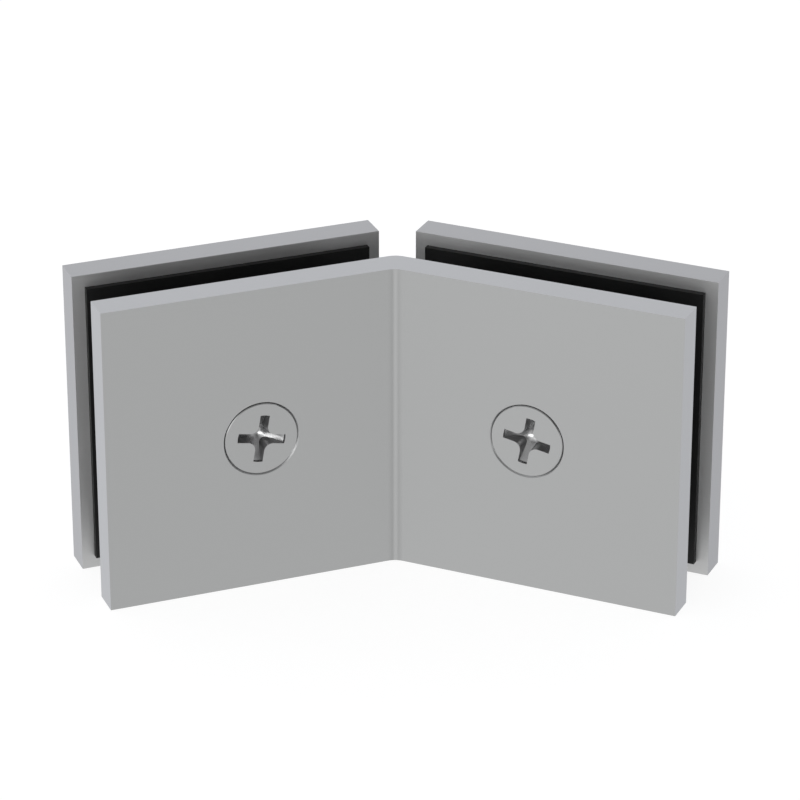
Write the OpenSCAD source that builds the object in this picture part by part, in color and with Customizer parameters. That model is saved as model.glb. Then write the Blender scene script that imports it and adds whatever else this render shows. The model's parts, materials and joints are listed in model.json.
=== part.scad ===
// Corner clamp that joins two glass panels at an obtuse angle.
//
// A bent front plate carries a countersunk screw in each wing. Each screw threads into
// a square back plate, and turning it draws that plate towards the wing, so the glass
// is gripped between two rubber gaskets. A plastic sleeve keeps the glass off the screw.
//
// Frame: +X right and +Y to the back as seen from the screw heads, +Z up. The clamp
// stands on the lower edges of its plates, with the origin under the middle of its box.

/* [Plates] */
// Angle between the two wings, on the side of the screw heads
corner_angle = 135; // [100:1:170]
// Height of every plate
plate_h = 50; // [30:0.5:80]
// Width of a back plate, along its wing
back_w = 50; // [40:0.5:80]
// Width of the gap between the two back plates, at their inner corners
back_split = 5.75; // [4.5:0.25:12]
// Thickness of the bent front plate
plate_t = 4.9; // [4:0.1:8]
// Thickness of a back plate
back_t = 4.85; // [4:0.05:8]
// Metal to metal distance between a wing and its back plate
jaw_gap = 9.85; // [8:0.05:14]
// Radius of the bend on the side of the screw heads
bend_r_front = 3; // [0.5:0.1:6]
// Radius of the bend on the side of the glass
bend_r_back = 3; // [0.5:0.1:8]

/* [Gaskets] */
// Thickness of a gasket
gasket_t = 1; // [0.5:0.1:1.5]
// Distance from a gasket's edge to the edge of its plate
gasket_inset = 2; // [0.5:0.1:4]

/* [Screws] */
// Diameter of the shank
shank_d = 5.9; // [4.9:0.1:7.1]
// Diameter of the countersunk head
head_d = 11.8; // [9.8:0.1:14]
// Height of the straight rim round the head
head_rim = 0.18; // [0.1:0.02:0.4]
// Width of the break at the top of that rim
head_break = 0.06; // [0.02:0.01:0.1]
// Width of the chamfer at the screw's tip
tip_chamfer = 0.6; // [0.2:0.1:1]

/* [Cross recess] */
// Width of an arm at the surface
arm_w = 1.5; // [1:0.05:1.8]
// Metal left between an arm's end and the edge of the head
recess_margin = 2; // [1.5:0.1:2.5]
// Height of the upright wall at an arm's end
arm_end_h = 0.68; // [0.3:0.02:1]
// Slope of the arms' floors, from the flat
floor_angle = 38.7; // [30:0.1:42]
// Radius of the rounded bottom
bottom_r = 2; // [1:0.1:2.5]
// Rounding of the four corners of metal between the arms
corner_r = 1.3; // [0.6:0.1:1.8]
// Lean of those corners, towards the axis
corner_lean = 4; // [1:0.5:9]
// Turn of the recess, clockwise as seen from the front
recess_turn = 10; // [0:1:90]

/* [Sleeves] */
// Wall of the sleeve round the shank
sleeve_wall = 1.85; // [1:0.05:3]
// Width of the chamfers at a sleeve's ends
sleeve_chamfer = 0.3; // [0.1:0.1:0.6]

/* [Fits] */
// Gap between the screw's head and its countersink, square to the cone
seat_clear = 0.05; // [0.02:0.01:0.1]
// Radial gap between the shank and the hole through the wing
pass_clear = 0.35; // [0.2:0.05:0.5]
// Radial gap between the shank and the tapped hole, for the thread
thread_clear = 0.05; // [0.02:0.01:0.1]
// Width of the lead-in at the mouth of the tapped hole
lead_in = 0.3; // [0.1:0.1:0.6]
// Depth left under the screw's tip, for its last turns
tip_clear = 0.8; // [0.4:0.1:1]
// Metal left behind the tapped hole
back_web = 0.8; // [0.5:0.1:1.5]
// Radial gap between the shank and the sleeve
sleeve_clear = 0.2; // [0.1:0.05:0.4]
// Distance from the sleeve's end to the back plate
sleeve_end_clear = 2.85; // [1.5:0.05:4]
// Gap between the sleeve and the hole in a gasket, all round
gasket_hole_clear = 0.5; // [0.3:0.1:2]

/* [Hidden] */
$fn = 96;

LEFT = -1;
RIGHT = 1;
// Overrun that carries a cutting shape past the face it cuts
over = 1;
// Excess of a rounding's radius, so that it crosses the faces it blends, not just grazes them
hair = 0.0005;
satin_metal = [0.66, 0.67, 0.66];
polished_metal = [0.72, 0.72, 0.74];
black_rubber = [0.05, 0.05, 0.05];
white_nylon = [0.88, 0.88, 0.85];

// Each wing leans forward from the X axis by half of the bend
lean = (180 - corner_angle) / 2;
// Distances behind a wing's front face
back_y = plate_t + jaw_gap;
clamp_t = back_y + back_t;
// Distances along a wing, from the line where the two front faces would meet. A wing ends
// flush with its back plate, and the screw goes through the middle of that plate.
back_u = (back_split / 2 - back_y * sin(lean)) / cos(lean);
screw_u = back_u + back_w / 2;
wing_l = back_u + back_w;
// Place of that line, which centres the whole clamp's box on the origin
corner_y = (wing_l * sin(lean) + back_u * sin(lean) - clamp_t * cos(lean)) / 2;

shank_r = shank_d / 2;
head_r = head_d / 2;
head_h = head_rim + head_r - shank_r;
tapped_depth = back_t - back_web;
screw_l = back_y + tapped_depth - tip_clear;
sleeve_bore_r = shank_r + sleeve_clear;
sleeve_r = sleeve_bore_r + sleeve_wall;
sleeve_l = jaw_gap - sleeve_end_clear;

// ---- Places ----------------------------------------------------------------------------

// Puts a shape drawn for the right wing on either side: X runs outward along the wing from
// the corner, Y to the back from its front face. The left side is the mirror image.
module on_wing(side) {
    mirror([side == LEFT ? 1 : 0, 0, 0])
        translate([0, corner_y, 0])
            rotate([0, 0, -lean])
                children();
}

// Puts a shape on a screw's axis, turned but never mirrored: Z runs into the clamp from the
// wing's front face, X to the right.
module on_screw_axis(side) {
    translate([0, corner_y, plate_h / 2])
        rotate([0, 0, -side * lean])
            translate([side * screw_u, 0, 0])
                rotate([-90, 0, 0])
                    children();
}

// ---- Front plate -------------------------------------------------------------------------

// Wedge between a bend's round and the sharp corner it replaces. The two faces would meet
// at [0, y], and the arc's centre lies in front of them. The wedge runs on behind them.
module corner_wedge(y, r) {
    tangent_x = r * sin(lean);
    tangent_y = y - r * tan(lean) * sin(lean);
    centre_y = y - r / cos(lean);
    difference() {
        polygon([[0, centre_y], [tangent_x, tangent_y], [0, y + over], [-tangent_x, tangent_y]]);
        translate([0, centre_y]) circle(r + hair);
    }
}

// The bent plate as seen from above: two wings that meet in a sharp bend, a round cut off
// its back and a fillet added in its front
module bent_outline() {
    front_end = [wing_l * cos(lean), -wing_l * sin(lean)];
    back_end = front_end + plate_t * [sin(lean), cos(lean)];
    flip = [[-1, 0], [0, 1]];
    difference() {
        polygon([[0, 0], front_end, back_end, [0, plate_t / cos(lean)],
                 flip * back_end, flip * front_end]);
        corner_wedge(plate_t / cos(lean), bend_r_back);
    }
    corner_wedge(0, bend_r_front);
}

// 90 degree countersink, parallel to the head's cone, and the hole for the shank
module screw_hole() {
    mouth_r = head_r + head_rim + seat_clear * sqrt(2);
    translate([0, 0, -over])
        cylinder(h = mouth_r + over, r1 = mouth_r + over, r2 = 0);
    cylinder(h = plate_t + over, r = shank_r + pass_clear);
}

module front_plate() {
    color(satin_metal)
    difference() {
        translate([0, corner_y, 0]) linear_extrude(plate_h) bent_outline();
        for (side = [LEFT, RIGHT]) on_screw_axis(side) screw_hole();
    }
}

// ---- Back plates -------------------------------------------------------------------------

// Blind tapped hole with a lead-in, from the inner face of a back plate
module tapped_hole() {
    tapped_r = shank_r + thread_clear;
    translate([0, 0, back_y - over]) {
        cylinder(h = over + tapped_depth, r = tapped_r);
        cylinder(h = over + lead_in, r1 = tapped_r + lead_in + over, r2 = tapped_r);
    }
}

// Square plate whose outer face is clean
module back_plate(side) {
    color(satin_metal)
    difference() {
        on_wing(side)
            translate([back_u, back_y, 0])
                cube([back_w, back_t, plate_h]);
        on_screw_axis(side) tapped_hole();
    }
}

// ---- Gaskets -----------------------------------------------------------------------------

// Rubber sheet that starts at u along a wing and lies on the face at y, with a hole for the
// sleeve. Its other three edges are inset from the plate's.
module gasket(side, u, y) {
    color(black_rubber)
    difference() {
        on_wing(side)
            translate([u, y, gasket_inset])
                cube([wing_l - gasket_inset - u, gasket_t, plate_h - 2 * gasket_inset]);
        on_screw_axis(side)
            translate([0, 0, y - over])
                cylinder(h = gasket_t + 2 * over, r = sleeve_r + gasket_hole_clear);
    }
}

// On the flat of the wing's back, clear of the bend
module front_gasket(side) {
    flat_u = max(0, (bend_r_back - plate_t) * tan(lean));
    gasket(side, flat_u + gasket_inset, plate_t);
}

module back_gasket(side) {
    gasket(side, back_u + gasket_inset, back_y - gasket_t);
}

// ---- Sleeves -----------------------------------------------------------------------------

// Plastic tube round the shank, standing on the back of the wing
module sleeve(side) {
    c = sleeve_chamfer;
    color(white_nylon)
    on_screw_axis(side)
        translate([0, 0, plate_t])
            rotate_extrude()
                polygon([[sleeve_bore_r, 0], [sleeve_r - c, 0], [sleeve_r, c],
                         [sleeve_r, sleeve_l - c], [sleeve_r - c, sleeve_l],
                         [sleeve_bore_r, sleeve_l]]);
}

// ---- Screws ------------------------------------------------------------------------------

// Turned blank: flush head with a short rim, 90 degree cone, plain shank, chamfered tip
module screw_blank() {
    rotate_extrude()
        polygon([[0, 0], [head_r - head_break, 0], [head_r, head_break], [head_r, head_rim],
                 [shank_r, head_h], [shank_r, screw_l - tip_chamfer],
                 [shank_r - tip_chamfer, screw_l], [0, screw_l]]);
}

// One of the four corners of metal that stand between the arms: a rounded quarter of a
// square bar that leans towards the axis as it goes down, so that the arms narrow
module recess_corner(depth) {
    r = corner_r;
    edge = arm_w / 2;
    rotate([0, 0, 45])
        rotate([0, -corner_lean, 0])
            rotate([0, 0, -45])
                translate([edge, edge, -over])
                    linear_extrude(depth + 2 * over) {
                        translate([r, 0]) square(head_r);
                        translate([0, r]) square(head_r);
                        translate([r, r]) circle(r);
                    }
}

// The hole that a cross-point driver fits: four arms with upright ends, whose floors slope
// down like a cone and run into a rounded bottom
module cross_recess() {
    mouth_r = head_r - recess_margin;
    knee_r = bottom_r * sin(floor_angle);
    knee_z = arm_end_h + (mouth_r - knee_r) * tan(floor_angle);
    centre_z = knee_z - bottom_r * cos(floor_angle);
    point_z = centre_z + bottom_r;
    rotate([0, 0, recess_turn])
        difference() {
            rotate_extrude() {
                polygon([[0, -over], [mouth_r, -over], [mouth_r, arm_end_h],
                         [knee_r, knee_z], [0, knee_z]]);
                intersection() {
                    translate([0, centre_z]) circle(bottom_r + hair);
                    square([mouth_r, point_z + over]);
                }
            }
            for (quarter = [0:3]) rotate([0, 0, 90 * quarter]) recess_corner(point_z);
        }
}

module screw(side) {
    color(polished_metal)
    on_screw_axis(side)
        difference() {
            screw_blank();
            cross_recess();
        }
}

front_plate();
front_gasket(LEFT);  // front_gasket_left
front_gasket(RIGHT);  // front_gasket_right
sleeve(LEFT);  // sleeve_left
sleeve(RIGHT);  // sleeve_right
screw(LEFT);  // screw_left
screw(RIGHT);  // screw_right
back_gasket(LEFT);  // back_gasket_left
back_gasket(RIGHT);  // back_gasket_right
back_plate(LEFT);  // back_plate_left
back_plate(RIGHT);  // back_plate_right
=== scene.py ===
"""Glass panel clamp: a bent front plate, two back plates, rubber gaskets, nylon sleeves and two
countersunk screws.

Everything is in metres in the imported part's own frame: +X right and +Y to the back as seen from
the screw heads, +Z up, with the clamp standing on the floor at the origin.
"""

import json
import math

import bpy
import numpy as np
from mathutils import Euler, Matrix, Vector


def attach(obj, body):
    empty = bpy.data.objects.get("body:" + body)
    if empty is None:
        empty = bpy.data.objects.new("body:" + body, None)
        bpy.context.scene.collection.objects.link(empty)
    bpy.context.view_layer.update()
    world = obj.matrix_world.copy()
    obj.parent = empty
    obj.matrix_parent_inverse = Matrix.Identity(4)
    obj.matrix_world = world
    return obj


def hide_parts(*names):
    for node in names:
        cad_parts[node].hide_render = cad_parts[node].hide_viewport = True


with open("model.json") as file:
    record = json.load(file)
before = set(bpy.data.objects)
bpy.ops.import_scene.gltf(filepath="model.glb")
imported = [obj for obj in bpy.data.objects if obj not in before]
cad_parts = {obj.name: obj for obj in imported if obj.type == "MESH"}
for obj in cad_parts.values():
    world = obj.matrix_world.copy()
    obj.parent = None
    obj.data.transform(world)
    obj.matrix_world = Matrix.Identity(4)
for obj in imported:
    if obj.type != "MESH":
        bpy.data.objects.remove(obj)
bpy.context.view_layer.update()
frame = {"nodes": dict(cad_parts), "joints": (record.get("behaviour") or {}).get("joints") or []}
nodes = frame["nodes"]
scene = bpy.context.scene
scene.view_settings.view_transform = "Standard"


# ---- Camera ------------------------------------------------------------------------------------
# A long lens looks down on the hollow side of the bend, almost square to the corner, so that
# both screw heads, the upper edges and the gaps that hold the glass show.
aim = Vector((0.00072, 0.0, 0.02754))
camera_distance = 0.60326
camera_yaw = math.radians(1.277)
camera_pitch = math.radians(25.163)
lens_length = 174.9
sensor_width = 36.0

camera_data = bpy.data.cameras.new("camera")
camera_data.sensor_width = sensor_width
camera_data.lens = lens_length
camera_data.clip_start = 0.01
camera_data.clip_end = 20.0
camera = bpy.data.objects.new("camera", camera_data)
camera.rotation_euler = Euler((math.pi / 2 - camera_pitch, 0.0, camera_yaw))
camera.location = aim + camera.rotation_euler.to_matrix() @ Vector((0.0, 0.0, camera_distance))
scene.collection.objects.link(camera)
scene.camera = camera


# ---- Studio ------------------------------------------------------------------------------------
# A plain white floor that runs out of sight, in a pale room whose ceiling is dimmer than its
# walls. The front wall has soft upright bands of light and shade for the steel to show, with a
# low soft box in front and a small lamp beside the clamp.
floor_half = 6.0
floor_diffuse = 0.22
floor_glow = 0.88
front_wall_from = -0.1
front_wall_full = -0.5
side_fall = -0.09
tint_reach = 0.6
room_front_tint = (0.998, 1.003, 1.0, 1.0)
room_back_tint = (1.0, 1.012, 1.055, 1.0)

# Greys as (place, level), with places from -1 to 1: the room's and the two zones' go by the
# height of a direction, and the bands' by its X. A zone says where its bands are laid on.
room_levels = ((-1.0, 0.86), (-0.44, 0.875), (-0.06, 0.90), (0.10, 1.00), (0.40, 1.07),
               (0.48, 1.03), (0.70, 0.50), (1.0, 0.42))
low_front_bands = ((-1.0, 0.95), (-0.48, 0.985), (-0.34, 0.64), (-0.13, 1.08), (0.05, 1.14),
                   (0.24, 0.60), (0.42, 1.01), (1.0, 1.035))
low_zone = ((-1.0, 1.0), (-0.2, 1.0), (0.0, 0.0), (1.0, 0.0))
high_front_bands = ((-1.0, 1.6), (-0.74, 1.6), (-0.56, 1.05), (-0.3, 1.15), (0.0, 0.55),
                    (0.2, 0.15), (0.45, 0.12), (0.7, 0.55), (1.0, 0.75))
high_zone = ((-1.0, 0.0), (-0.1, 0.0), (0.2, 1.0), (0.45, 1.0), (0.73, 0.35), (1.0, 0.35))

# Each lamp's direction from the clamp, distance, width and height, and radiance
lamps = {"soft_box": ((-0.174, -0.985, 0.0), 1.5, (1.20, 0.50), 3.5),
         "side_lamp": ((-0.93, 0.32, 0.19), 1.5, (0.25, 0.25), 6.0)}


def add_node(tree, kind, values=(), **settings):
    """A new node in a tree, with its settings and the given (socket, value) pairs in place."""
    node = tree.nodes.new(kind)
    for name, value in settings.items():
        setattr(node, name, value)
    for socket, value in values:
        node.inputs[socket].default_value = value
    return node


def add_mix(tree, kind, **settings):
    """A new mix node of "Float", "Vector" or "Color": its factor, its two ends and its result."""
    node = add_node(tree, "ShaderNodeMix", **settings,
                    data_type={"Float": "FLOAT", "Vector": "VECTOR", "Color": "RGBA"}[kind])
    ends = {socket.identifier: socket for socket in node.inputs}
    results = {socket.identifier: socket for socket in node.outputs}
    return ends["Factor_Float"], ends["A_" + kind], ends["B_" + kind], results["Result_" + kind]


def join(tree, *pairs):
    """Links each (source, target) pair of sockets."""
    for source, target in pairs:
        tree.links.new(source, target)


def new_material(name):
    """An empty node material, its tree and its output node."""
    material = bpy.data.materials.new(name)
    material.use_nodes = True
    tree = material.node_tree
    tree.nodes.clear()
    return material, tree, add_node(tree, "ShaderNodeOutputMaterial")


def grey_ramp(tree, levels):
    """A ramp of greys over -1 to 1 from (place, level) pairs, read at a place moved to 0 to 1."""
    ramp = add_node(tree, "ShaderNodeValToRGB")
    stops = ramp.color_ramp.elements
    while len(stops) < len(levels):
        stops.new(1.0)
    for stop, (at, level) in zip(stops, levels):
        stop.position = (at + 1) / 2
        stop.color = (level, level, level, 1.0)
    return ramp


floor_mesh = bpy.data.meshes.new("floor")
floor_mesh.from_pydata([(-floor_half, -floor_half, 0), (floor_half, -floor_half, 0),
                        (floor_half, floor_half, 0), (-floor_half, floor_half, 0)],
                       [], [(0, 1, 2, 3)])
floor = bpy.data.objects.new("floor", floor_mesh)
scene.collection.objects.link(floor)

# The floor glows to the eye and lights nothing, and reflections look through it into the room
floor_material, tree, output = new_material("white_floor")
floor_material.cycles.emission_sampling = "NONE"
matt = add_node(tree, "ShaderNodeBsdfDiffuse", [("Color", (floor_diffuse,) * 3 + (1.0,))])
glow = add_node(tree, "ShaderNodeEmission", [("Color", (1.0, 1.0, 1.0, 1.0))])
floor_rays = add_node(tree, "ShaderNodeLightPath")
seen = add_node(tree, "ShaderNodeMath", operation="MAXIMUM")
glow_level = add_node(tree, "ShaderNodeMath", [(1, floor_glow)], operation="MULTIPLY")
painted = add_node(tree, "ShaderNodeAddShader")
open_to_room = add_node(tree, "ShaderNodeBsdfTransparent")
floor_or_room = add_node(tree, "ShaderNodeMixShader")
join(tree,
     (floor_rays.outputs["Is Camera Ray"], seen.inputs[0]),
     (floor_rays.outputs["Is Transmission Ray"], seen.inputs[1]),
     (seen.outputs["Value"], glow_level.inputs[0]),
     (glow_level.outputs["Value"], glow.inputs["Strength"]),
     (matt.outputs["BSDF"], painted.inputs[0]),
     (glow.outputs["Emission"], painted.inputs[1]),
     (floor_rays.outputs["Is Glossy Ray"], floor_or_room.inputs["Fac"]),
     (painted.outputs["Shader"], floor_or_room.inputs[1]),
     (open_to_room.outputs["BSDF"], floor_or_room.inputs[2]),
     (floor_or_room.outputs["Shader"], output.inputs["Surface"]))
floor_mesh.materials.append(floor_material)

world = bpy.data.worlds.new("studio")
scene.world = world
world.use_nodes = True
world.cycles.sampling_method = "NONE"
tree = world.node_tree
tree.nodes.clear()
output = add_node(tree, "ShaderNodeOutputWorld")
direction = add_node(tree, "ShaderNodeTexCoord")
direction_xyz = add_node(tree, "ShaderNodeSeparateXYZ")
height = add_node(tree, "ShaderNodeMapRange", [("From Min", -1.0)])
sideways = add_node(tree, "ShaderNodeMapRange", [("From Min", -1.0)])
in_front = add_node(tree, "ShaderNodeMapRange",
                    [("From Min", front_wall_from), ("From Max", front_wall_full)])
levels = grey_ramp(tree, room_levels)
join(tree,
     (direction.outputs["Generated"], direction_xyz.inputs[0]),
     (direction_xyz.outputs["X"], sideways.inputs["Value"]),
     (direction_xyz.outputs["Y"], in_front.inputs["Value"]),
     (direction_xyz.outputs["Z"], height.inputs["Value"]),
     (height.outputs["Result"], levels.inputs["Fac"]))

room_grey = levels.outputs["Color"]
for bands, zone in ((low_front_bands, low_zone), (high_front_bands, high_zone)):
    across = grey_ramp(tree, bands)
    upward = grey_ramp(tree, zone)
    mask = add_node(tree, "ShaderNodeMath", operation="MULTIPLY")
    laid_on, plain_grey, band_grey, banded_grey = add_mix(tree, "Color", blend_type="MULTIPLY")
    join(tree,
         (sideways.outputs["Result"], across.inputs["Fac"]),
         (height.outputs["Result"], upward.inputs["Fac"]),
         (in_front.outputs["Result"], mask.inputs[0]),
         (upward.outputs["Color"], mask.inputs[1]),
         (mask.outputs["Value"], laid_on),
         (room_grey, plain_grey),
         (across.outputs["Color"], band_grey))
    room_grey = banded_grey

fall = add_node(tree, "ShaderNodeMath", [(1, side_fall), (2, 1.0)], operation="MULTIPLY_ADD")
backward = add_node(tree, "ShaderNodeMapRange",
                    [("From Min", -tint_reach), ("From Max", tint_reach)])
tint_share, front_tint, back_tint, tint = add_mix(tree, "Color")
front_tint.default_value = room_front_tint
back_tint.default_value = room_back_tint
tinted = add_node(tree, "ShaderNodeVectorMath", operation="MULTIPLY")
graded = add_node(tree, "ShaderNodeVectorMath", operation="SCALE")
room = add_node(tree, "ShaderNodeBackground")
backdrop = add_node(tree, "ShaderNodeBackground", [("Color", (1.0, 1.0, 1.0, 1.0))])
room_rays = add_node(tree, "ShaderNodeLightPath")
view = add_node(tree, "ShaderNodeMixShader")
join(tree,
     (direction_xyz.outputs["X"], fall.inputs[0]),
     (direction_xyz.outputs["Y"], backward.inputs["Value"]),
     (backward.outputs["Result"], tint_share),
     (room_grey, tinted.inputs[0]),
     (tint, tinted.inputs[1]),
     (tinted.outputs["Vector"], graded.inputs[0]),
     (fall.outputs["Value"], graded.inputs["Scale"]),
     (graded.outputs["Vector"], room.inputs["Color"]),
     (room_rays.outputs["Is Camera Ray"], view.inputs["Fac"]),
     (room.outputs["Background"], view.inputs[1]),
     (backdrop.outputs["Background"], view.inputs[2]),
     (view.outputs["Shader"], output.inputs["Surface"]))

for lamp_name, (lamp_direction, distance, (width, tall), radiance) in lamps.items():
    lamp_data = bpy.data.lights.new(lamp_name, "AREA")
    lamp_data.shape = "RECTANGLE"
    lamp_data.size = width
    lamp_data.size_y = tall
    lamp_data.energy = radiance * math.pi * width * tall
    lamp = bpy.data.objects.new(lamp_name, lamp_data)
    toward_lamp = Vector(lamp_direction).normalized()
    lamp.location = aim + toward_lamp * distance
    lamp.rotation_euler = toward_lamp.to_track_quat("Z", "Y").to_euler()
    lamp.visible_camera = False
    scene.collection.objects.link(lamp)


# ---- Front plate -------------------------------------------------------------------------------
# A strip of 5 mm stainless steel, bent through 45 degrees in a press brake and countersunk for a
# screw in each wing. Its faces are rubbed to a fine satin that runs along the wings.
lean = math.radians(22.5)
plate_t = 0.0049
face_tolerance = 0.000004
front_steel = (0.448, 0.4515, 0.4525, 1.0)
satin_roughness = 0.30
satin_shade = 0.025
satin_spread = 0.05
# The sanded face behind each gasket is dull from real sanding, and its steel is painted lighter:
# painted light for the shaded gap between the plates
keyed_steel_painted_light = (0.60, 0.60, 0.60, 1.0)
keyed_roughness = 0.54
keyed_shade = 0.12
groove_depth = 0.0000004
line_scale = (220.0, 220.0, 7000.0)
cloud_scale = 90.0
cloud_share = 0.3


def add_sockets(group, inputs, outputs):
    """Gives a node group inputs, each (name, kind, value), and outputs, each (name, kind)."""
    for name, kind, value in inputs:
        socket = group.interface.new_socket(name, in_out="INPUT", socket_type="NodeSocket" + kind)
        socket.default_value = value
    for name, kind in outputs:
        group.interface.new_socket(name, in_out="OUTPUT", socket_type="NodeSocket" + kind)
    return add_node(group, "NodeGroupInput"), add_node(group, "NodeGroupOutput")


# The depth behind a wing's front face, along its screw. X is folded onto the right side, so
# that one screw's place and axis serve both wings.
joints = {joint["name"]: joint for joint in frame["joints"]}
depth_behind = bpy.data.node_groups.new("depth_behind_wing", "ShaderNodeTree")
_, result = add_sockets(depth_behind, [], [("Depth", "Float")])
place = add_node(depth_behind, "ShaderNodeTexCoord")
apart = add_node(depth_behind, "ShaderNodeSeparateXYZ")
folded = add_node(depth_behind, "ShaderNodeMath", operation="ABSOLUTE")
together = add_node(depth_behind, "ShaderNodeCombineXYZ")
from_screw = add_node(depth_behind, "ShaderNodeVectorMath",
                      [(1, joints["screw_right_turn"]["pos_m"])], operation="SUBTRACT")
along = add_node(depth_behind, "ShaderNodeVectorMath",
                 [(1, (math.sin(lean), math.cos(lean), 0.0))], operation="DOT_PRODUCT")
join(depth_behind,
     (place.outputs["Object"], apart.inputs[0]),
     (apart.outputs["X"], folded.inputs[0]),
     (folded.outputs["Value"], together.inputs["X"]),
     (apart.outputs["Y"], together.inputs["Y"]),
     (apart.outputs["Z"], together.inputs["Z"]),
     (together.outputs["Vector"], from_screw.inputs[0]),
     (from_screw.outputs["Vector"], along.inputs[0]),
     (along.outputs["Value"], result.inputs["Depth"]))

# Fine rubbed lines along the wings with a soft cloudiness under them. The lines are a noise that
# changes quickly with height and slowly along the plate, and they shade, roughen and groove it.
satin_grain = bpy.data.node_groups.new("satin_grain", "ShaderNodeTree")
given, result = add_sockets(
    satin_grain,
    [("Colour", "Color", front_steel), ("Roughness", "Float", satin_roughness),
     ("Shade", "Float", satin_shade), ("Spread", "Float", satin_spread),
     ("Groove Depth", "Float", groove_depth)],
    [("Colour", "Color"), ("Roughness", "Float"), ("Normal", "Vector")])
place = add_node(satin_grain, "ShaderNodeTexCoord")
drawn_out = add_node(satin_grain, "ShaderNodeMapping", [("Scale", line_scale)])
lines = add_node(satin_grain, "ShaderNodeTexNoise",
                 [("Scale", 1.0), ("Detail", 3.0), ("Roughness", 0.65)])
clouds = add_node(satin_grain, "ShaderNodeTexNoise",
                  [("Scale", cloud_scale), ("Detail", 2.0), ("Roughness", 0.5)])
share, line_end, cloud_end, both = add_mix(satin_grain, "Float")
share.default_value = cloud_share
centred = add_node(satin_grain, "ShaderNodeMath", [(1, 0.5)], operation="SUBTRACT")
shade = add_node(satin_grain, "ShaderNodeMath", [(2, 1.0)], operation="MULTIPLY_ADD")
shaded = add_node(satin_grain, "ShaderNodeVectorMath", operation="SCALE")
roughened = add_node(satin_grain, "ShaderNodeMath", operation="MULTIPLY_ADD")
grooves = add_node(satin_grain, "ShaderNodeBump", [("Strength", 1.0)])
join(satin_grain,
     (place.outputs["Object"], drawn_out.inputs["Vector"]),
     (drawn_out.outputs["Vector"], lines.inputs["Vector"]),
     (place.outputs["Object"], clouds.inputs["Vector"]),
     (lines.outputs["Fac"], line_end),
     (clouds.outputs["Fac"], cloud_end),
     (both, centred.inputs[0]),
     (centred.outputs["Value"], shade.inputs[0]),
     (given.outputs["Shade"], shade.inputs[1]),
     (given.outputs["Colour"], shaded.inputs[0]),
     (shade.outputs["Value"], shaded.inputs["Scale"]),
     (shaded.outputs["Vector"], result.inputs["Colour"]),
     (centred.outputs["Value"], roughened.inputs[0]),
     (given.outputs["Spread"], roughened.inputs[1]),
     (given.outputs["Roughness"], roughened.inputs[2]),
     (roughened.outputs["Value"], result.inputs["Roughness"]),
     (lines.outputs["Fac"], grooves.inputs["Height"]),
     (given.outputs["Groove Depth"], grooves.inputs["Distance"]),
     (grooves.outputs["Normal"], result.inputs["Normal"]))


def satin_plate(name, colour, keyed_depth):
    """Bare stainless steel with the rubbed grain over its faces and cut edges, except the face
    at the given depth, which is sanded coarse and dull so that a gasket sticks to it, and whose
    steel is painted lighter: painted light for the shaded gap between the plates."""
    material, tree, output = new_material(name)
    steel = add_node(tree, "ShaderNodeBsdfPrincipled", [("Metallic", 1.0)])
    grain = add_node(tree, "ShaderNodeGroup", node_tree=satin_grain)
    grain.inputs["Colour"].default_value = colour
    # The sanded face's group gives it a lighter steel, painted light for the shaded gap, and its
    # real dull roughness
    sanding_and_painted_light = add_node(tree, "ShaderNodeGroup", node_tree=satin_grain)
    sanding_and_painted_light.inputs["Colour"].default_value = keyed_steel_painted_light
    sanding_and_painted_light.inputs["Roughness"].default_value = keyed_roughness
    sanding_and_painted_light.inputs["Shade"].default_value = keyed_shade
    measured = add_node(tree, "ShaderNodeGroup", node_tree=depth_behind)
    sanded_painted_light_face = add_node(tree, "ShaderNodeMath", [(1, keyed_depth), (2, face_tolerance)],
                     operation="COMPARE")
    join(tree,
         (measured.outputs["Depth"], sanded_painted_light_face.inputs[0]),
         (steel.outputs["BSDF"], output.inputs["Surface"]))
    for finish, kind, target in (("Colour", "Color", "Base Color"),
                                 ("Roughness", "Float", "Roughness"),
                                 ("Normal", "Vector", "Normal")):
        keyed_share, rubbed, sanded_and_painted_light, either = add_mix(tree, kind)
        join(tree,
             (sanded_painted_light_face.outputs["Value"], keyed_share),
             (grain.outputs[finish], rubbed),
             (sanding_and_painted_light.outputs[finish], sanded_and_painted_light),
             (either, steel.inputs[target]))
    return material


nodes["front_plate"].data.materials[0] = satin_plate("front_plate_satin", front_steel, plate_t)


# ---- Back plates -------------------------------------------------------------------------------
# Two 50 mm squares sawn from stainless bar a little thinner than the front plate, rubbed the same
# way. Each has a blind tapped hole in its middle, so the outer face is clean.
# The back plates' steel is painted darker than the front plate's: painted shade for plates that
# stand back behind it. Their inner faces take the sanded face's lighter painted steel.
back_steel_painted_shade = (0.385, 0.385, 0.386, 1.0)
jaw_gap = 0.00985
back_satin = satin_plate("back_plate_satin", back_steel_painted_shade, plate_t + jaw_gap)
for side_name in ("left", "right"):
    nodes["back_plate_" + side_name].data.materials[0] = back_satin


# ---- Gaskets -----------------------------------------------------------------------------------
# Sheets of black rubber 1 mm thick, punched out with a hole for the sleeve and stuck to the
# plates. The skin is dull, with a fine tooth and faint grey bloom.
rubber_black = (0.002, 0.002, 0.002, 1.0)
rubber_bloom = (0.004, 0.004, 0.004, 1.0)
bloom_scale = 160.0
tooth_scale = 5200.0
tooth_depth = 0.000012


def tones(tree, low, low_colour, high, high_colour):
    """A ramp that runs from one colour at a low value to another at a high value."""
    ramp = add_node(tree, "ShaderNodeValToRGB")
    for stop, at, colour in zip(ramp.color_ramp.elements, (low, high), (low_colour, high_colour)):
        stop.position = at
        stop.color = colour
    return ramp


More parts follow.
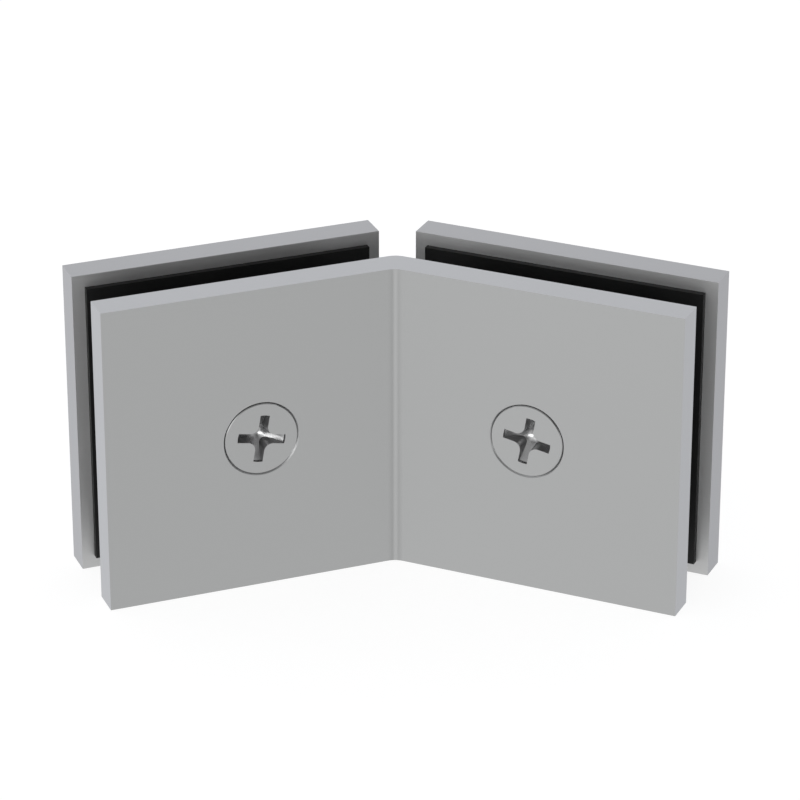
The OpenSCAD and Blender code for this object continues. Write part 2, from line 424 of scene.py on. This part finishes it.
rubber, tree, output = new_material("black_rubber")
skin = add_node(tree, "ShaderNodeBsdfPrincipled", [("Specular IOR Level", 0.35)])
place = add_node(tree, "ShaderNodeTexCoord")
bloom = add_node(tree, "ShaderNodeTexNoise", [("Scale", bloom_scale), ("Detail", 4.0)])
bloom_tones = tones(tree, 0.38, rubber_black, 0.72, rubber_bloom)
tooth = add_node(tree, "ShaderNodeTexNoise", [("Scale", tooth_scale), ("Detail", 2.0)])
dullness = add_node(tree, "ShaderNodeMapRange", [("To Min", 0.52), ("To Max", 0.68)])
relief = add_node(tree, "ShaderNodeBump", [("Strength", 1.0), ("Distance", tooth_depth)])
join(tree,
     (place.outputs["Object"], bloom.inputs["Vector"]),
     (place.outputs["Object"], tooth.inputs["Vector"]),
     (bloom.outputs["Fac"], bloom_tones.inputs["Fac"]),
     (bloom_tones.outputs["Color"], skin.inputs["Base Color"]),
     (bloom.outputs["Fac"], dullness.inputs["Value"]),
     (dullness.outputs["Result"], skin.inputs["Roughness"]),
     (tooth.outputs["Fac"], relief.inputs["Height"]),
     (relief.outputs["Normal"], skin.inputs["Normal"]),
     (skin.outputs["BSDF"], output.inputs["Surface"]))
for side_name in ("left", "right"):
    for gasket_name in ("front_gasket_", "back_gasket_"):
        nodes[gasket_name + side_name].data.materials[0] = rubber


# ---- Sleeves -----------------------------------------------------------------------------------
# Short tubes parted off from natural nylon rod, which keep the glass off the screws. The lathe
# leaves fine rings round them, and the plastic is slightly cloudy.
nylon_pale = (0.80, 0.80, 0.765, 1.0)
nylon_deep = (0.74, 0.735, 0.69, 1.0)
nylon_cloud_scale = 300.0
sleeve_rings = 7000.0
ring_depth = 0.000006

# Rings round a screw's axis: a noise of the depth behind the wing
turned_rings = bpy.data.node_groups.new("turned_rings", "ShaderNodeTree")
given, result = add_sockets(turned_rings, [("Rings per Metre", "Float", sleeve_rings)],
                            [("Rings", "Float")])
measured = add_node(turned_rings, "ShaderNodeGroup", node_tree=depth_behind)
steps = add_node(turned_rings, "ShaderNodeMath", operation="MULTIPLY")
ring_noise = add_node(turned_rings, "ShaderNodeTexNoise",
                      [("Scale", 1.0), ("Detail", 2.0)], noise_dimensions="1D")
join(turned_rings,
     (measured.outputs["Depth"], steps.inputs[0]),
     (given.outputs["Rings per Metre"], steps.inputs[1]),
     (steps.outputs["Value"], ring_noise.inputs["W"]),
     (ring_noise.outputs["Fac"], result.inputs["Rings"]))

nylon, tree, output = new_material("natural_nylon")
plastic = add_node(tree, "ShaderNodeBsdfPrincipled",
                   [("Subsurface Weight", 0.15), ("Subsurface Scale", 0.0008),
                    ("Subsurface Radius", (1.0, 0.95, 0.85))])
place = add_node(tree, "ShaderNodeTexCoord")
cloud = add_node(tree, "ShaderNodeTexNoise", [("Scale", nylon_cloud_scale), ("Detail", 3.0)])
cloud_tones = tones(tree, 0.3, nylon_deep, 0.7, nylon_pale)
rings = add_node(tree, "ShaderNodeGroup", node_tree=turned_rings)
gloss = add_node(tree, "ShaderNodeMapRange", [("To Min", 0.38), ("To Max", 0.55)])
ridges = add_node(tree, "ShaderNodeBump", [("Strength", 1.0), ("Distance", ring_depth)])
join(tree,
     (place.outputs["Object"], cloud.inputs["Vector"]),
     (cloud.outputs["Fac"], cloud_tones.inputs["Fac"]),
     (cloud_tones.outputs["Color"], plastic.inputs["Base Color"]),
     (rings.outputs["Rings"], gloss.inputs["Value"]),
     (gloss.outputs["Result"], plastic.inputs["Roughness"]),
     (rings.outputs["Rings"], ridges.inputs["Height"]),
     (ridges.outputs["Normal"], plastic.inputs["Normal"]),
     (plastic.outputs["BSDF"], output.inputs["Surface"]))
for side_name in ("left", "right"):
    nodes["sleeve_" + side_name].data.materials[0] = nylon


# ---- Screws ------------------------------------------------------------------------------------
# M6 countersunk machine screws of stainless steel: the head and its cross recess are struck in
# one blow, which leaves them bright, the flat of the head is rubbed with the plate, and the
# thread is rolled. They screw into the back plates.
head_r = 0.0059
cut_break = 0.00006
struck_break = 0.00013
recess_r = 0.004
recess_core_r = 0.002
recess_end = 0.0035
shank_r = 0.00295
cone_end = 0.00313
tip_depth = 0.018
tip_chamfer = 0.0006
pitch = 0.001
thread_depth = 0.0006
thread_slope = 1.45
thread_crest = 0.2
runout = (0.0003, 0.0016)
rows_per_turn = 12
point_tolerance = 0.00001
bright_steel = (0.42, 0.42, 0.423, 1.0)
struck_roughness = 0.25
wall_roughness = 0.5
wall_lean = 0.25
rim_roughness = 0.12
thread_roughness = 0.24
screw_rings = 9000.0

# The flat keeps the plate's grain, and the rest has its own tone, and a roughness by face
screw_material, tree, output = new_material("screw_satin_and_bright")
steel = add_node(tree, "ShaderNodeBsdfPrincipled", [("Metallic", 1.0)])
grain = add_node(tree, "ShaderNodeGroup", node_tree=satin_grain)
struck = add_node(tree, "ShaderNodeAttribute", attribute_name="bright")
struck_rough = add_node(tree, "ShaderNodeAttribute", attribute_name="bright_roughness")
rings = add_node(tree, "ShaderNodeGroup", node_tree=turned_rings)
rings.inputs["Rings per Metre"].default_value = screw_rings
ring_change = add_node(tree, "ShaderNodeMapRange", [("To Min", 0.88), ("To Max", 1.12)])
ringed_rough = add_node(tree, "ShaderNodeMath", operation="MULTIPLY")
rough_share, flat_rough, bright_rough, rough = add_mix(tree, "Float")
tone_share, flat_tone, bright_tone, tone = add_mix(tree, "Color")
bright_tone.default_value = bright_steel
join(tree,
     (rings.outputs["Rings"], ring_change.inputs["Value"]),
     (ring_change.outputs["Result"], ringed_rough.inputs[0]),
     (struck_rough.outputs["Fac"], ringed_rough.inputs[1]),
     (struck.outputs["Fac"], rough_share),
     (grain.outputs["Roughness"], flat_rough),
     (ringed_rough.outputs["Value"], bright_rough),
     (rough, steel.inputs["Roughness"]),
     (struck.outputs["Fac"], tone_share),
     (grain.outputs["Colour"], flat_tone),
     (tone, steel.inputs["Base Color"]),
     (steel.outputs["BSDF"], output.inputs["Surface"]))


def joined_mesh(mesh):
    """The points, triangles and corner normals of a mesh of loose triangles, with the points
    that share a place, to a tenth of a micrometre, made one."""
    points = np.empty(len(mesh.vertices) * 3, np.float32)
    mesh.vertices.foreach_get("co", points)
    points = points.reshape(-1, 3).astype(float)
    corners = np.empty(len(mesh.loops), np.int32)
    mesh.loops.foreach_get("vertex_index", corners)
    normals = np.empty(len(mesh.loops) * 3, np.float32)
    mesh.corner_normals.foreach_get("vector", normals)
    _, first, joined = np.unique(np.round(points * 1e7).astype(np.int64), axis=0,
                                 return_index=True, return_inverse=True)
    return points[first], joined.reshape(-1)[corners].reshape(-1, 3), normals.reshape(-1, 3, 3)


def thread_radius(turn, depth):
    """The rolled thread's radius at an angle and a depth, as whole arrays.

    A ridge winds once round the shank in each pitch, rising with the angle as a right-hand
    thread does. Its section is a triangle wave with flat crests and roots, it fades out towards
    the head, and the chamfer at the tip cuts it off.
    """
    wave = np.abs(2 * ((depth / pitch - turn / (2 * math.pi)) % 1.0) - 1)
    groove = np.clip(thread_slope * wave - thread_crest, 0.0, 1.0)
    fade = np.clip((depth - cone_end - runout[0]) / (runout[1] - runout[0]), 0.0, 1.0)
    blank = np.minimum(shank_r, shank_r - tip_chamfer + tip_depth - depth)
    return np.minimum(shank_r - thread_depth * groove * fade, blank)


def rolled_shank(turn, origin, axis, up, across):
    """The shank's points, with a row for each depth from the cone to the tip and a column for
    each angle.

    A point is the origin, plus its depth along the axis, plus the thread's radius outwards,
    where outwards turns from up towards across with the angle.
    """
    rows = int(round((tip_depth - cone_end) / pitch * rows_per_turn)) + 1
    turns, depths = np.meshgrid(turn, np.linspace(cone_end, tip_depth, rows)[1:])
    outward = np.cos(turns)[..., None] * up + np.sin(turns)[..., None] * across
    return origin + depths[..., None] * axis + thread_radius(turns, depths)[..., None] * outward


for side_name in ("left", "right"):
    body_name = "screw_" + side_name
    joint = joints[body_name + "_turn"]
    origin = np.array(joint["pos_m"])
    axis = -np.array(joint["axis"]) / np.linalg.norm(joint["axis"])
    up = np.array([0.0, 0.0, 1.0])
    across = np.cross(axis, up)

    points, corners, shading = joined_mesh(nodes[body_name].data)
    depth = (points - origin) @ axis
    from_axis = points - origin - depth[:, None] * axis
    radius = np.linalg.norm(from_axis, axis=1)

    # Striking rounds the head's edge, so its break is drawn out from the blank's narrow one
    growth = struck_break - cut_break
    break_top = (depth < point_tolerance) & (radius > head_r - cut_break - point_tolerance)
    break_foot = (np.abs(depth - cut_break) < point_tolerance) & (radius > head_r - point_tolerance)
    points[break_top] -= growth * from_axis[break_top] / radius[break_top, None]
    points[break_foot] += growth * axis

    # The head is the blank's own mesh without the plain shank, which lies behind the cone and
    # outside the recess
    behind_cone = np.all(depth[corners] > cone_end - point_tolerance, axis=1)
    past_recess = (np.any(radius[corners] > recess_core_r, axis=1)
                   | np.any(depth[corners] > recess_end, axis=1))
    solid = ((corners[:, 0] != corners[:, 1]) & (corners[:, 1] != corners[:, 2])
             & (corners[:, 2] != corners[:, 0]))
    keep = solid & ~(behind_cone & past_recess)
    head = corners[keep]
    head_normals = shading[keep]

    # The rolled shank grows out of the ring of points at the end of the cone
    ring = np.flatnonzero((np.abs(depth - cone_end) < point_tolerance)
                          & (radius > shank_r - 2 * point_tolerance))
    turn = np.arctan2((points[ring] - origin) @ across, (points[ring] - origin) @ up)
    ring = ring[np.argsort(turn)]
    shank_points = rolled_shank(np.sort(turn), origin, axis, up, across)
    rows = shank_points.shape[0]
    grown = len(points) + np.arange(rows * len(ring)).reshape(rows, len(ring))
    index = np.vstack([ring, grown])
    after = np.roll(index, -1, axis=1)
    shank = np.stack([index[:-1], after[:-1], after[1:], index[1:]], axis=-1).reshape(-1, 4)
    cap = np.stack([index[-1], after[-1], np.full(len(ring), grown[-1, -1] + 1)], axis=-1)
    points = np.vstack([points, shank_points.reshape(-1, 3), origin + tip_depth * axis])

    # Each point of the shank is shaded by the mean of the faces round it
    quads = points[shank]
    quad_normals = np.cross(quads[:, 2] - quads[:, 0], quads[:, 3] - quads[:, 1])
    point_normals = np.zeros_like(points)
    np.add.at(point_normals, shank, quad_normals[:, None])
    shank_normals = point_normals[shank.ravel()]
    shank_normals /= np.linalg.norm(shank_normals, axis=1, keepdims=True)

    used = np.unique(np.concatenate([head.ravel(), shank.ravel(), cap.ravel()]))
    head_list, shank_list, cap_list = (np.searchsorted(used, part).tolist()
                                       for part in (head, shank, cap))
    mesh = bpy.data.meshes.new("threaded_screw_" + side_name)
    mesh.from_pydata(points[used].tolist(), [], head_list + shank_list + cap_list)
    mesh.polygons.foreach_set("use_smooth", np.ones(len(mesh.polygons), bool))
    mesh.normals_split_custom_set(np.concatenate([
        head_normals.reshape(-1, 3), shank_normals, np.tile(axis, (cap.size, 1))]).tolist())

    # The flat of the head isn't bright, and the recess's walls are duller than its floor
    flat = np.all(depth[head] < point_tolerance, axis=1)
    in_recess = np.max(radius[head], axis=1) < recess_r
    wall = np.abs(head_normals.mean(axis=1) @ axis) < wall_lean
    recess_rough = np.where(wall, wall_roughness, struck_roughness)
    shank_and_cap = len(shank) + len(cap)
    for attribute_name, on_head, on_shank in (
            ("bright", 1.0 - flat, 1.0),
            ("bright_roughness", np.where(in_recess, recess_rough, rim_roughness),
             thread_roughness)):
        attribute = mesh.attributes.new(attribute_name, "FLOAT", "FACE")
        attribute.data.foreach_set(
            "value", np.concatenate([on_head, np.full(shank_and_cap, on_shank)]))
    mesh.materials.append(screw_material)
    screw = bpy.data.objects.new("threaded_screw_" + side_name, mesh)
    scene.collection.objects.link(screw)
    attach(screw, body_name)
    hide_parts(body_name)
